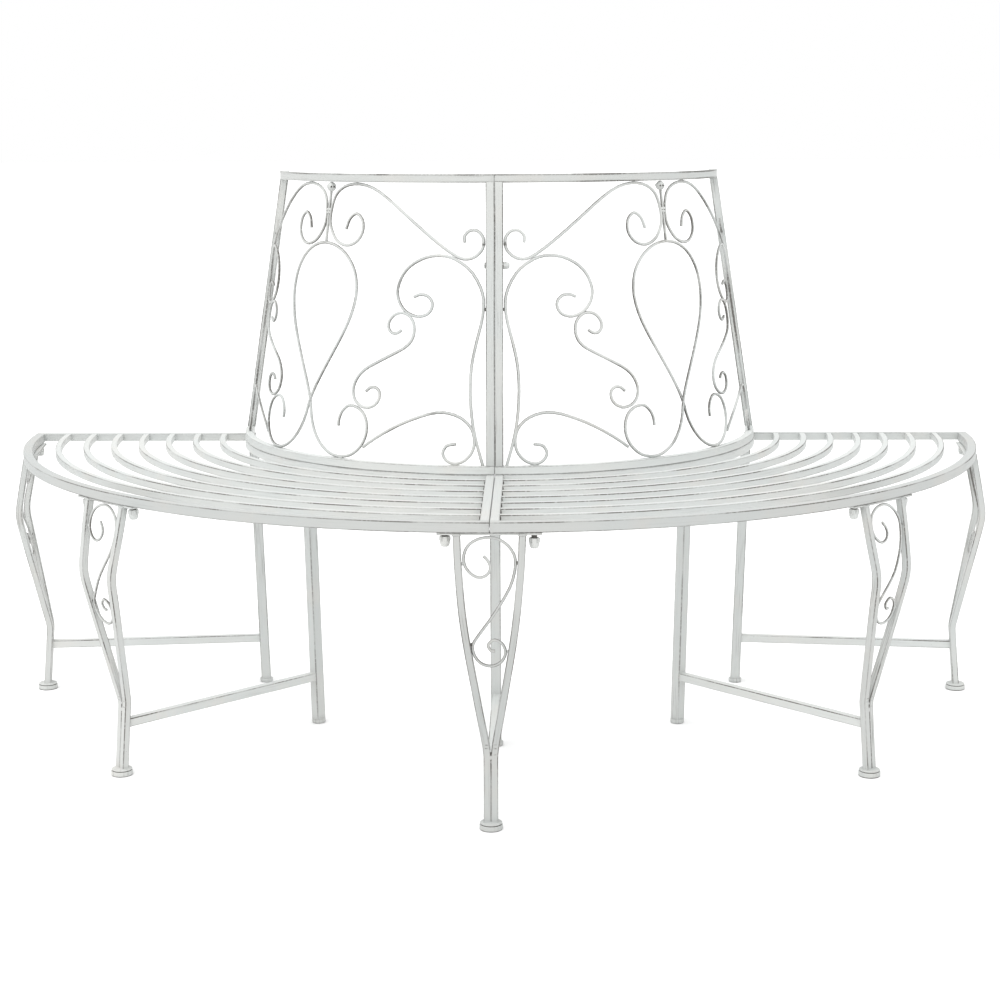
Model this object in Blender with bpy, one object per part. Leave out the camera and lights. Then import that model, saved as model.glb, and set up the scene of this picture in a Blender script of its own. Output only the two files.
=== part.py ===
"""Half-round tree bench of welded steel: two quarter seats, two quarter backs, five pairs of legs.

Metres, +Z up. The bench stands on z = 0 and its front faces -Y. The tree's axis is the vertical
line at (0, TREE_Y), and every ring, slat and leg is placed by its distance and angle from it.
Angle 0 points to the front, along -Y, and positive angles turn towards +X.
"""

from math import asin, cos, degrees, hypot, pi, radians, sin

import bmesh
import bpy
from mathutils import Vector

# Whole object
TREE_Y = 0.4091
GAP = 0.0003
SEAM_GAP = 0.0004

# Seat
SEAT_TOP = 0.4313
RIM_RADIUS = 0.8000
RIM_WIDTH = 0.0150
RIM_HEIGHT = 0.0145
INNER_RIM_RADIUS = 0.4355
INNER_RIM_WIDTH = 0.0150
BAR = 0.0127
SLAT_FIRST_RADIUS = 0.4735
SLAT_PITCH = 0.0450
SLAT_COUNT = 7
SLAT_WIDTH = 0.0100
SLAT_HEIGHT = 0.0110

# Back: a cone that leans towards the tree
BACK_TUBE = 0.0127
BACK_TOP = 0.8780
BACK_BOTTOM_RADIUS = 0.4355
BACK_TOP_RADIUS = 0.3647
PATTERN_SLACK = 0.0028  # how much wider the scrollwork's pattern is laid out than the back, at its top
WIRE_RADIUS = 0.0023
CROSSING = 0.0006
BALL_RADIUS = 0.0066

# Outer legs
LEG_BAR = 0.0100
LEG_ANGLES = {"far_left": -83.3, "mid_left": -45.0, "front": 0.0, "mid_right": 45.0, "far_right": 83.3}
# The two far legs face a little further round than their place on the rim, and stand further in
LEG_TURNS = {"far_left": -2.7, "mid_left": 0.0, "front": 0.0, "mid_right": 0.0, "far_right": 2.7}
LEG_INSETS = {"far_left": 0.0012, "mid_left": 0.0, "front": 0.0, "mid_right": 0.0, "far_right": 0.0012}
LEG_MIDDLE = 0.7900
PLATE_LENGTH = 0.141
PLATE_WIDTH = 0.020
PLATE_MIDDLE = 0.7875
PLATE_THICKNESS = 0.003
NUT_SPREAD = 0.0597
NUT_ACROSS_CORNERS = 0.0150
NUT_HEIGHT = 0.0080
NUT_DOME = 0.0085
FOOT_RADIUS = 0.0160
FOOT_GROOVE_LOW = 0.0074
FOOT_GROOVE_DEPTH = 0.0012
FOOT_HEIGHT = 0.0106
LEG_WIRE_RADIUS = 0.0020

# Inner legs and stretchers
INNER_LEG = 0.0160
INNER_LEG_FOOT_RADIUS = 0.4105
INNER_LEG_TOP_RADIUS = 0.4215
CAP_RADIUS = 0.0110
CAP_HEIGHT = 0.0070
STRETCHER = 0.0127
STRETCHER_Z = 0.0785

# Height and distance from the tree's axis of an outer leg's bars, from the floor up
LEG_SIDE = [
    (0.0060, 0.7862), (0.1040, 0.7772), (0.1115, 0.7770), (0.1190, 0.7780), (0.2930, 0.8121),
    (0.3020, 0.8134), (0.3110, 0.8139), (0.3200, 0.8132), (0.3290, 0.8118), (0.4155, 0.7940),
]
# Height and half spread of the two bars of an outer leg, from the joint of the V up
LEG_SPREAD = [
    (0.0060, 0.00495), (0.0985, 0.00495), (0.1040, 0.0052), (0.1095, 0.0057), (0.1170, 0.0066),
    (0.1320, 0.0090), (0.1500, 0.0121), (0.1770, 0.0166), (0.2070, 0.0215), (0.2370, 0.0264),
    (0.2660, 0.0309), (0.2950, 0.0347), (0.3220, 0.0377), (0.3490, 0.0402), (0.3750, 0.0422),
    (0.4155, 0.0441),
]

# Scrollwork of one back panel, right of its middle line: millimetres along the arc, millimetres
# above the seat. The left side is the mirror image.
TOP_SCROLL = [
    (43, 362), (49, 378), (62, 386), (75, 376), (77, 358), (66, 343), (46, 337.5), (23, 346),
    (7, 368), (5.8, 392), (14, 415), (34, 428), (62, 431), (92, 424), (125, 405), (165, 376),
    (205, 347), (231, 330), (250, 321), (267, 323), (278.5, 335), (278.5, 351), (269, 362),
    (257, 363), (249.5, 355), (251, 345),
]
HEART_LOOP = [
    (-3, 341), (14, 339.5), (30, 335), (46, 326.5), (60, 314), (71, 298), (77, 279), (78, 257),
    (72, 231), (61, 206), (46, 179), (30, 152), (16, 128), (6, 109), (-1, 92), (-5, 76),
    (-11, 60), (-22, 43), (-38, 28), (-58, 18), (-78, 15.6), (-98, 20), (-114, 33), (-122, 50),
    (-122, 68), (-114, 84), (-100, 93), (-84, 94), (-73, 85), (-68, 73), (-68, 62),
]
BIG_SCROLL = [
    (180, 263), (190, 267), (202, 265), (210, 257), (211, 247), (205, 238), (192, 234),
    (178, 237), (165, 245), (155, 259), (152, 276), (158, 296), (171, 311), (190, 321.5),
    (210, 325.5), (230, 323.5), (248, 315.5), (265, 303), (279, 285), (288, 266), (291, 246),
    (290, 224), (286, 196), (283, 166), (284, 136), (288, 106), (294, 78), (302, 52), (311, 29),
    (316, 17),
]
SMALL_SCROLL = [
    (166, 213), (158, 208), (149, 209), (143, 217), (144, 227), (152, 236), (164, 239),
    (176, 234.5), (184.5, 224), (187, 209), (183, 196), (173, 186), (155, 176), (130, 163),
    (109, 151), (96, 137), (91, 121), (95, 106), (106, 96.5), (120, 93.5), (133, 98), (140, 108),
    (139, 119), (131, 125), (122, 124), (115, 118),
]
CORNER_SCROLL = [
    (120, 33), (136, 45), (158, 59), (182, 72), (208, 83), (230, 90), (250, 91.5), (269, 87),
    (284.5, 78), (295.5, 65), (300.5, 48), (298, 32), (288, 20), (274, 15.6), (261, 20), (254, 31),
    (259, 42), (273, 45),
]
# Scroll between the bars of an outer leg: millimetres along the arc, millimetres above the floor
LEG_SCROLL = [
    (-8, 386), (-1, 378), (1, 369), (-4, 361), (-14, 358), (-25, 363), (-33, 374), (-34, 388),
    (-27, 401), (-12, 409), (7, 409.5), (23, 401), (33, 387), (34.2, 370), (28, 347), (14, 322),
    (0, 301), (-14, 281), (-22.6, 266), (-21, 251), (-12, 239), (2, 235), (15, 241), (21, 254),
    (17, 267), (6, 273), (-2, 266), (1, 258), (7, 257),
]

PAINTS = {
    "seat_paint": (0.80, 0.81, 0.79),
    "back_paint": (0.81, 0.82, 0.80),
    "wire_paint": (0.74, 0.75, 0.74),
    "leg_paint": (0.79, 0.80, 0.77),
}


def clear_scene():
    for obj in list(bpy.data.objects):
        bpy.data.objects.remove(obj, do_unlink=True)


def paint(slot):
    """The painted metal of this slot, made once."""
    if slot in bpy.data.materials:
        return bpy.data.materials[slot]
    material = bpy.data.materials.new(slot)
    material.use_nodes = True
    shader = material.node_tree.nodes["Principled BSDF"]
    shader.inputs["Base Color"].default_value = (*PAINTS[slot], 1.0)
    shader.inputs["Roughness"].default_value = 0.5
    shader.inputs["Metallic"].default_value = 0.0
    return material


def add_object(name, points, faces, slot, smooth=False):
    """One closed mesh as an object, its faces turned outwards."""
    mesh = bpy.data.meshes.new(name)
    shape = bmesh.new()
    corners = [shape.verts.new(point) for point in points]
    for face in faces:
        shape.faces.new([corners[index] for index in face])
    bmesh.ops.recalc_face_normals(shape, faces=shape.faces)
    shape.to_mesh(mesh)
    shape.free()
    if smooth:
        mesh.shade_smooth()
        mesh.set_sharp_from_angle(angle=radians(50))
    mesh.materials.append(paint(slot))
    obj = bpy.data.objects.new(name, mesh)
    bpy.context.scene.collection.objects.link(obj)
    return obj


def join(body, others):
    """Welds other closed objects into body. They stay in the file as unrendered guides."""
    for other in others:
        union = body.modifiers.new("weld_" + other.name, "BOOLEAN")
        union.operation = "UNION"
        union.solver = "EXACT"
        union.object = other
        other.hide_render = True
        other.display_type = "WIRE"
    return body


def around(radius, angle, height):
    """The point at this distance, angle in radians and height about the tree's axis."""
    return Vector((radius * sin(angle), TREE_Y - radius * cos(angle), height))


def loft(rings):
    """Points and faces of a closed body through rings that all have the same number of corners."""
    count = len(rings[0])
    points = [point for ring in rings for point in ring]
    faces = []
    for step in range(len(rings) - 1):
        for corner in range(count):
            after = (corner + 1) % count
            low = step * count
            high = low + count
            faces.append((low + corner, low + after, high + after, high + corner))
    faces.append(tuple(range(count)))
    faces.append(tuple(range(len(points) - count, len(points))))
    return points, faces


def curve_through(knots, most_turn=21.0, longest=0.055):
    """Points of a smooth curve through the knots, closer together where it bends."""
    fine = []
    for index in range(len(knots) - 1):
        before = knots[max(index - 1, 0)]
        start = knots[index]
        end = knots[index + 1]
        after = knots[min(index + 2, len(knots) - 1)]
        for part in range(12):
            t = part / 12
            fine.append(
                0.5 * (2 * start + (end - before) * t + (2 * before - 5 * start + 4 * end - after) * t**2
                       + (3 * start - before - 3 * end + after) * t**3)
            )
    fine.append(knots[-1])
    kept = [fine[0]]
    turned = 0.0
    run = 0.0
    for index in range(1, len(fine) - 1):
        leaving = fine[index + 1] - fine[index]
        arriving = fine[index] - fine[index - 1]
        turned += degrees(arriving.angle(leaving))
        run += arriving.length
        if turned > most_turn or run > longest:
            kept.append(fine[index])
            turned = 0.0
            run = 0.0
    kept.append(fine[-1])
    return kept


def wire(name, path, normals, radius, slot, sides=6):
    """A round rod along a path. normals gives one direction that is never along the path."""
    rings = []
    for index, point in enumerate(path):
        back = path[max(index - 1, 0)]
        ahead = path[min(index + 1, len(path) - 1)]
        along = (ahead - back).normalized()
        across = along.cross(normals[index]).normalized()
        out = across.cross(along)
        ring = []
        for side in range(sides):
            turn = 2 * pi * (side + 0.5) / sides
            ring.append(point + (across * cos(turn) + out * sin(turn)) * radius)
        rings.append(ring)
    points, faces = loft(rings)
    return add_object(name, points, faces, slot, smooth=True)


def lathe(name, centre, profile, slot, sides=16):
    """A round body about a vertical line through centre. profile is (radius, height) from below."""
    points = []
    faces = []
    rows = []
    for radius, height in profile:
        row = []
        for side in range(sides):
            turn = 2 * pi * side / sides
            row.append(len(points))
            points.append(centre + Vector((radius * cos(turn), radius * sin(turn), height)))
        rows.append(row)
    for low, high in zip(rows, rows[1:]):
        for side in range(sides):
            after = (side + 1) % sides
            faces.append((low[side], low[after], high[after], high[side]))
    faces.append(tuple(rows[0]))
    faces.append(tuple(rows[-1]))
    return add_object(name, points, faces, slot, smooth=True)


# ---------------------------------------------------------------- seat


def ring_bar(name, side, outer, inner, low, high, seam_face, end_face, slot, steps):
    """A bar bent to a quarter ring. Its ends are flat, at seam_face from x = 0 and end_face from the back."""
    rings = []
    for step in range(steps + 1):
        share = step / steps
        ring = []
        for radius, height in ((outer, low), (outer, high), (inner, high), (inner, low)):
            start = asin(seam_face / radius)
            stop = pi / 2 - asin(end_face / radius)
            ring.append(around(radius, side * (start + (stop - start) * share), height))
        rings.append(ring)
    points, faces = loft(rings)
    return add_object(name, points, faces, slot)


def box(name, low, high, slot):
    corners = [(x, y, z) for z in (low[2], high[2]) for y in (low[1], high[1]) for x in (low[0], high[0])]
    faces = [(0, 1, 3, 2), (4, 5, 7, 6), (0, 1, 5, 4), (2, 3, 7, 6), (0, 2, 6, 4), (1, 3, 7, 5)]
    return add_object(name, corners, faces, slot)


def side_box(name, side, low, high, slot):
    """A box given for the right half, placed there or mirrored to the left."""
    spans = sorted((side * low[0], side * high[0]))
    return box(name, (spans[0], low[1], low[2]), (spans[1], high[1], high[2]), slot)


def quarter_seat(word, side):
    """Two bent rims, a bar at the centre seam, a bar at the far end, and the slats between the bars.
    The outer rim runs across the seam bar's front end. The inner rim and the slats stop at its side."""
    seam_face = SEAM_GAP + BAR + GAP
    end_face = BAR + GAP
    ring_bar("seat_rim_outer_" + word, side, RIM_RADIUS, RIM_RADIUS - RIM_WIDTH, SEAT_TOP - RIM_HEIGHT,
             SEAT_TOP, SEAM_GAP, end_face, "seat_paint", 24)
    ring_bar("seat_rim_inner_" + word, side, INNER_RIM_RADIUS, INNER_RIM_RADIUS - INNER_RIM_WIDTH,
             SEAT_TOP - BAR, SEAT_TOP, seam_face, end_face, "seat_paint", 18)
    for index in range(SLAT_COUNT):
        middle = SLAT_FIRST_RADIUS + SLAT_PITCH * index
        ring_bar("seat_slat_%d_%s" % (index + 1, word), side, middle + SLAT_WIDTH / 2,
                 middle - SLAT_WIDTH / 2, SEAT_TOP - SLAT_HEIGHT, SEAT_TOP, seam_face, end_face,
                 "seat_paint", 20)
    near = INNER_RIM_RADIUS - INNER_RIM_WIDTH
    far = RIM_RADIUS - RIM_WIDTH - 2 * GAP
    side_box("seat_bar_seam_" + word, side, (SEAM_GAP, TREE_Y - far, SEAT_TOP - BAR),
             (SEAM_GAP + BAR, TREE_Y - near, SEAT_TOP), "seat_paint")
    side_box("seat_bar_end_" + word, side, (near, TREE_Y - BAR, SEAT_TOP - BAR),
             (RIM_RADIUS, TREE_Y, SEAT_TOP), "seat_paint")


# ---------------------------------------------------------------- back


def back_radius(height):
    """Outer radius of the back at this height above the floor."""
    share = (height - SEAT_TOP) / (BACK_TOP - SEAT_TOP)
    return BACK_BOTTOM_RADIUS + (BACK_TOP_RADIUS - BACK_BOTTOM_RADIUS) * share


def back_rail(name, side, low, steps):
    """A square tube bent to a quarter ring, lying level at this height."""
    outer = back_radius(low + BACK_TUBE / 2)
    return ring_bar(name, side, outer, outer - BACK_TUBE, low, low + BACK_TUBE, SEAM_GAP, 0.0,
                    "back_paint", steps)


def back_post(name, side, at_seam):
    """A straight square tube that leans with the back, at the centre seam or at the far end."""
    rings = []
    for height in (SEAT_TOP + 2 * GAP + BACK_TUBE, BACK_TOP - BACK_TUBE - GAP):
        outer = back_radius(height)
        ring = []
        for across, depth in ((0, 0), (BACK_TUBE, 0), (BACK_TUBE, BACK_TUBE), (0, BACK_TUBE)):
            if at_seam:
                ring.append(Vector((side * (SEAM_GAP + across), TREE_Y - outer + depth, height)))
            else:
                ring.append(Vector((side * (outer - depth), TREE_Y - across, height)))
        rings.append(ring)
    points, faces = loft(rings)
    return add_object(name, points, faces, "back_paint")


def seam_bolt(name, side, length, radius, sides):
    """The end of the bolt that holds the two centre posts together, sticking out of one post."""
    height = 0.7425
    centre = back_radius(height) - BACK_TUBE / 2
    rings = []
    for x in (SEAM_GAP + BACK_TUBE / 2, SEAM_GAP + BACK_TUBE + length):
        ring = []
        for corner in range(sides):
            turn = 2 * pi * corner / sides
            ring.append(Vector((side * x, TREE_Y - centre + radius * cos(turn), height + radius * sin(turn))))
        rings.append(ring)
    points, faces = loft(rings)
    return add_object(name, points, faces, "back_paint")


def on_panel(side, across, up, forward=0.0):
    """The point of the wire surface at this place of a panel's pattern, and the outward direction there."""
    height = SEAT_TOP + up / 1000
    radius = back_radius(height) - BACK_TUBE / 2 + forward
    laid_out = radius + PATTERN_SLACK * (height - SEAT_TOP) / (BACK_TOP - SEAT_TOP)
    angle = side * pi / 4 + across / 1000 / laid_out
    return around(radius, angle, height), Vector((sin(angle), -cos(angle), 0.15))


def panel_wire(name, side, mirror, knots, forward=0.0):
    """A rod of the scrollwork. mirror is 1 for the right of the panel's middle line and -1 for the left."""
    flat = curve_through([Vector((across / 1000, up / 1000)) for across, up in knots])
    placed = [on_panel(side, mirror * point.x * 1000, point.y * 1000, forward) for point in flat]
    path = [point for point, _ in placed]
    normals = [normal for _, normal in placed]
    return wire(name, path, normals, WIRE_RADIUS, "wire_paint")


def heart(word, side):
    """The pear loop of two crossing rods that end in hooks, with its stem, collar and ball."""
    right = panel_wire("back_heart_" + word, side, 1, HEART_LOOP, CROSSING)
    left = panel_wire("guide_heart_" + word, side, -1, HEART_LOOP, -CROSSING)
    stem = panel_wire("guide_stem_" + word, side, 1, [(0, 424), (0, 400), (0, 370), (0, 341.5)])
    centre, _ = on_panel(side, 0, 426.2)
    ball = lathe("guide_ball_" + word, centre,
                 [(BALL_RADIUS * cos(turn), BALL_RADIUS * sin(turn)) for turn in
                  [radians(t) for t in (-75, -45, -15, 15, 45, 75)]], "wire_paint", 12)
    return join(right, [left, stem, ball])


def side_scrolls(word, side, place, mirror):
    """The big scroll along a post, with the small S-scroll and the corner scroll welded to it."""
    name = place + "_" + word
    big = panel_wire("back_scrolls_" + name, side, mirror, BIG_SCROLL)
    small = panel_wire("guide_small_" + name, side, mirror, SMALL_SCROLL)
    corner = panel_wire("guide_corner_" + name, side, mirror, CORNER_SCROLL)
    return join(big, [small, corner])


def quarter_back(word, side):
    """A frame of two bent rails and two posts, filled with scrollwork."""
    back_rail("back_rail_bottom_" + word, side, SEAT_TOP + GAP, 18)
    back_rail("back_rail_top_" + word, side, BACK_TOP - BACK_TUBE, 18)
    seam = back_post("back_post_seam_" + word, side, True)
    nut = seam_bolt("guide_bolt_" + word, side, 0.0085 if side > 0 else 0.0025, 0.0050, 6)
    join(seam, [nut])
    back_post("back_post_end_" + word, side, False)
    heart(word, side)
    for place, mirror in (("right", 1), ("left", -1)):
        half = "inner" if mirror == -side else "outer"
        panel_wire("back_top_scroll_%s_%s" % (half, word), side, mirror, TOP_SCROLL)
        side_scrolls(word, side, half, mirror)


# ---------------------------------------------------------------- legs


def between(table, height):
    """The value at this height, read from a table of (height, value) with straight stretches."""
    for (low, first), (high, second) in zip(table, table[1:]):
        if height <= high:
            share = (height - low) / (high - low)
            return first + (second - first) * share
    return table[-1][1]


def leg_point(angle, across, radius, height):
    """A point of an outer leg: across runs along the arc, and radius out from the tree."""
    along = Vector((cos(angle), sin(angle), 0.0))
    return around(radius, angle, height) + along * across


def frame_point(word, across, radius, height):
    """A point of an outer leg's frame, which may be turned and set in a little from its place."""
    angle = radians(LEG_ANGLES[word])
    facing = angle + radians(LEG_TURNS[word])
    out = Vector((sin(facing), -cos(facing), 0.0))
    along = Vector((cos(facing), sin(facing), 0.0))
    return around(LEG_MIDDLE, angle, height) + out * (radius - LEG_MIDDLE - LEG_INSETS[word]) + along * across


def leg_bar(name, word, hand, thickness):
    """One of the two bent bars of an outer leg."""
    heights = sorted({height for height, _ in LEG_SIDE + LEG_SPREAD})
    path = [(hand * between(LEG_SPREAD, height), between(LEG_SIDE, height), height) for height in heights]
    rings = []
    for index, (across, radius, height) in enumerate(path):
        low = path[max(index - 1, 0)]
        high = path[min(index + 1, len(path) - 1)]
        rise = high[2] - low[2]
        across_lean = (high[0] - low[0]) / rise
        radius_lean = (high[1] - low[1]) / rise
        half_across = LEG_BAR / 2 * hypot(1.0, across_lean)
        half_out = thickness / 2 * hypot(1.0, radius_lean)
        ring = []
        for wide, out in ((-1, -1), (1, -1), (1, 1), (-1, 1)):
            ring.append(frame_point(word, across + wide * half_across, radius + out * half_out, height))
        rings.append(ring)
    points, faces = loft(rings)
    return add_object(name, points, faces, "leg_paint")


def leg_plate(name, angle):
    """The flat plate under the rim that carries the leg."""
    high = SEAT_TOP - RIM_HEIGHT - GAP
    low = high - PLATE_THICKNESS
    rings = []
    for height in (low, high):
        ring = []
        for wide, out in ((-1, -1), (1, -1), (1, 1), (-1, 1)):
            radius = PLATE_MIDDLE + out * PLATE_WIDTH / 2
            ring.append(leg_point(angle, wide * PLATE_LENGTH / 2, radius, height))
        rings.append(ring)
    points, faces = loft(rings)
    return add_object(name, points, faces, "leg_paint")


def cap_nut(name, angle, across):
    """A six-sided nut with a domed end, hanging below the plate."""
    high = SEAT_TOP - RIM_HEIGHT - GAP - PLATE_THICKNESS / 2
    low = high - PLATE_THICKNESS / 2 - NUT_HEIGHT
    radius = NUT_ACROSS_CORNERS / 2
    profile = [
        (0.0022, low - NUT_DOME), (0.0046, low - NUT_DOME * 0.80), (0.0058, low - NUT_DOME * 0.35),
        (0.0060, low), (radius, low + 0.0004), (radius, high),
    ]
    centre = leg_point(angle, across, PLATE_MIDDLE, 0.0)
    return lathe(name, centre, profile, "leg_paint", 6)


def foot(name, word):
    """The round foot: a disc with a thinner one on it, and a groove between them."""
    profile = [
        (FOOT_RADIUS - 0.0012, 0.0), (FOOT_RADIUS, 0.0012), (FOOT_RADIUS, FOOT_GROOVE_LOW),
        (FOOT_RADIUS - FOOT_GROOVE_DEPTH, FOOT_GROOVE_LOW + 0.0006),
        (FOOT_RADIUS - 0.0006, FOOT_GROOVE_LOW + 0.0012),
        (FOOT_RADIUS - 0.0006, FOOT_HEIGHT - 0.0008), (FOOT_RADIUS - 0.0018, FOOT_HEIGHT),
    ]
    return lathe(name, frame_point(word, 0.0, LEG_SIDE[0][1], 0.0), profile, "leg_paint", 20)


def outer_leg(word, angle):
    """Two bars that meet in a V and run down together to a round foot, under a bolted plate."""
    body = leg_bar("leg_frame_" + word, word, 1, LEG_BAR)
    others = [
        leg_bar("guide_bar_" + word, word, -1, LEG_BAR - 0.0002),
        leg_plate("guide_plate_" + word, angle),
        foot("guide_foot_" + word, word),
    ]
    for label, hand in (("a", -1), ("b", 1)):
        others.append(cap_nut("guide_nut_%s_%s" % (label, word), angle, hand * NUT_SPREAD))
    return join(body, others)


def leg_scroll(word):
    """The thin S-scroll that fills the V."""
    flat = curve_through([Vector((across / 1000, up / 1000)) for across, up in LEG_SCROLL], 26.0, 0.030)
    path = [frame_point(word, point.x, between(LEG_SIDE, point.y), point.y) for point in flat]
    facing = radians(LEG_ANGLES[word] + LEG_TURNS[word])
    out = Vector((sin(facing), -cos(facing), 0.0))
    return wire("leg_scroll_" + word, path, [out] * len(path), LEG_WIRE_RADIUS, "wire_paint")


def inner_leg_radius(height):
    share = height / (SEAT_TOP - BAR)
    return INNER_LEG_FOOT_RADIUS + (INNER_LEG_TOP_RADIUS - INNER_LEG_FOOT_RADIUS) * share


def square_ring(angle, size, radius, height):
    half = size / 2
    return [leg_point(angle, wide * half, radius + out * half, height)
            for wide, out in ((-1, -1), (1, -1), (1, 1), (-1, 1))]


def inner_leg(word, angle):
    """A square tube under the inner rim, leaning a little, on a round glide as wide as its corners."""
    rings = []
    for height in (CAP_HEIGHT / 2, SEAT_TOP - BAR - GAP):
        rings.append(square_ring(angle, INNER_LEG, inner_leg_radius(height), height))
    points, faces = loft(rings)
    body = add_object("leg_inner_" + word, points, faces, "leg_paint")
    profile = [
        (CAP_RADIUS - 0.0016, 0.0), (CAP_RADIUS - 0.0004, 0.0014), (CAP_RADIUS, 0.0030),
        (CAP_RADIUS, CAP_HEIGHT - 0.0012), (CAP_RADIUS - 0.0010, CAP_HEIGHT),
    ]
    centre = leg_point(angle, 0.0, INNER_LEG_FOOT_RADIUS, 0.0)
    return join(body, [lathe("guide_cap_" + word, centre, profile, "leg_paint", 20)])


def stretcher(word, angle):
    """The level bar between an inner and an outer leg."""
    rings = []
    for place in ("inner", "outer"):
        ring = []
        for wide, up in ((-1, -1), (1, -1), (1, 1), (-1, 1)):
            height = STRETCHER_Z + up * STRETCHER / 2
            if place == "inner":
                radius = inner_leg_radius(height) + INNER_LEG / 2 + GAP
            else:
                radius = between(LEG_SIDE, height) - LEG_BAR / 2 - 2 * GAP - 1.3 * LEG_INSETS[word]
            ring.append(leg_point(angle, wide * STRETCHER / 2, radius, height))
        rings.append(ring)
    points, faces = loft(rings)
    return add_object("leg_stretcher_" + word, points, faces, "leg_paint")


clear_scene()
for side_word, side_sign in (("left", -1), ("right", 1)):
    quarter_seat(side_word, side_sign)
    quarter_back(side_word, side_sign)
for leg_word, leg_degrees in LEG_ANGLES.items():
    outer_leg(leg_word, radians(leg_degrees))
    leg_scroll(leg_word)
    inner_leg(leg_word, radians(leg_degrees))
    stretcher(leg_word, radians(leg_degrees))
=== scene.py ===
"""Half-round tree bench in worn white paint: the looks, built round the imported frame.

Every CAD node is replaced by detailed pieces in the same place. Lengths are metres. The tree's axis
is the vertical line at (0, TREE_Y). Angle 0 points to the front, along -Y, and positive angles turn
towards +X.
"""

from math import asin, cos, degrees, hypot, pi, radians, sin

import bmesh
import bpy
from mathutils import Matrix, Vector, noise


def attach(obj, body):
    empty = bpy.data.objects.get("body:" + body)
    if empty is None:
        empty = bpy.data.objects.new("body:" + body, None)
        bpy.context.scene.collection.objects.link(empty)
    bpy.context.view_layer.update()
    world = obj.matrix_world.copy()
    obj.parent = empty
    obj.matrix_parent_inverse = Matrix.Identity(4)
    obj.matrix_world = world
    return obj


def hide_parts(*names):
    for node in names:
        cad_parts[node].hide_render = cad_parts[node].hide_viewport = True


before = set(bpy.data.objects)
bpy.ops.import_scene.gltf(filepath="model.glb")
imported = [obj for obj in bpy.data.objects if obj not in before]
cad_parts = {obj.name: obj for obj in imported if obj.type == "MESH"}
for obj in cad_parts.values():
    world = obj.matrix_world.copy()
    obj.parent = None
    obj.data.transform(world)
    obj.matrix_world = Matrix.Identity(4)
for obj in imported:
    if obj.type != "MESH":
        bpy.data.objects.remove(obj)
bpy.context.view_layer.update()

UP = Vector((0, 0, 1))

# Whole object
TREE_Y = 0.4091
SEAM_GAP = 0.0004
GAP = 0.0003

# Seat
SEAT_TOP = 0.4313
RIM_RADIUS = 0.8000
RIM_WIDTH = 0.0150
RIM_HEIGHT = 0.0145
INNER_RIM_RADIUS = 0.4355
INNER_RIM_WIDTH = 0.0150
BAR = 0.0127
SLAT_FIRST_RADIUS = 0.4735
SLAT_PITCH = 0.0450
SLAT_COUNT = 7
SLAT_WIDTH = 0.0100
SLAT_HEIGHT = 0.0110

# Back
BACK_TUBE = 0.0127
BACK_TOP = 0.8780
BACK_BOTTOM_RADIUS = 0.4355
BACK_TOP_RADIUS = 0.3647
PATTERN_SLACK = 0.0028  # how much wider the scrollwork's pattern is laid out than the back, at its top
WIRE_RADIUS = 0.0023
CROSSING = 0.0009  # how far each rod of a pear loop stands off the other where they cross
BALL_RADIUS = 0.0073
SEAM_BOLT_HEIGHT = 0.7425

# Outer legs
LEG_BAR = 0.0100
LEG_ANGLES = {"far_left": -83.3, "mid_left": -45.0, "front": 0.0, "mid_right": 45.0, "far_right": 83.3}
# The two far legs face a little further round than their place on the rim, and stand further in
LEG_TURNS = {"far_left": -2.7, "far_right": 2.7}
LEG_INSETS = {"far_left": 0.0012, "far_right": 0.0012}
LEG_MIDDLE = 0.7900
PLATE_LENGTH = 0.141
PLATE_WIDTH = 0.020
PLATE_MIDDLE = 0.7875
PLATE_THICKNESS = 0.003
NUT_SPREAD = 0.0597
NUT_RADIUS = 0.0075
FOOT_RADIUS = 0.0160
LEG_WIRE_RADIUS = 0.0020

# Inner legs and stretchers
INNER_LEG = 0.0160
INNER_LEG_FOOT_RADIUS = 0.4105
INNER_LEG_TOP_RADIUS = 0.4215
GLIDE_RADIUS = 0.0110
STRETCHER = 0.0127
STRETCHER_Z = 0.0785

# Height and distance from the tree's axis of an outer leg's bars, from the floor up
LEG_SIDE = [
    (0.0060, 0.7862), (0.1040, 0.7772), (0.1115, 0.7770), (0.1190, 0.7780), (0.2930, 0.8121),
    (0.3020, 0.8134), (0.3110, 0.8139), (0.3200, 0.8132), (0.3290, 0.8118), (0.4155, 0.7940),
]
# Height and half spread of the two bars of an outer leg
LEG_SPREAD = [
    (0.0060, 0.00495), (0.0985, 0.00495), (0.1040, 0.0052), (0.1095, 0.0057), (0.1170, 0.0066),
    (0.1320, 0.0090), (0.1500, 0.0121), (0.1770, 0.0166), (0.2070, 0.0215), (0.2370, 0.0264),
    (0.2660, 0.0309), (0.2950, 0.0347), (0.3220, 0.0377), (0.3490, 0.0402), (0.3750, 0.0422),
    (0.4155, 0.0441),
]

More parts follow.
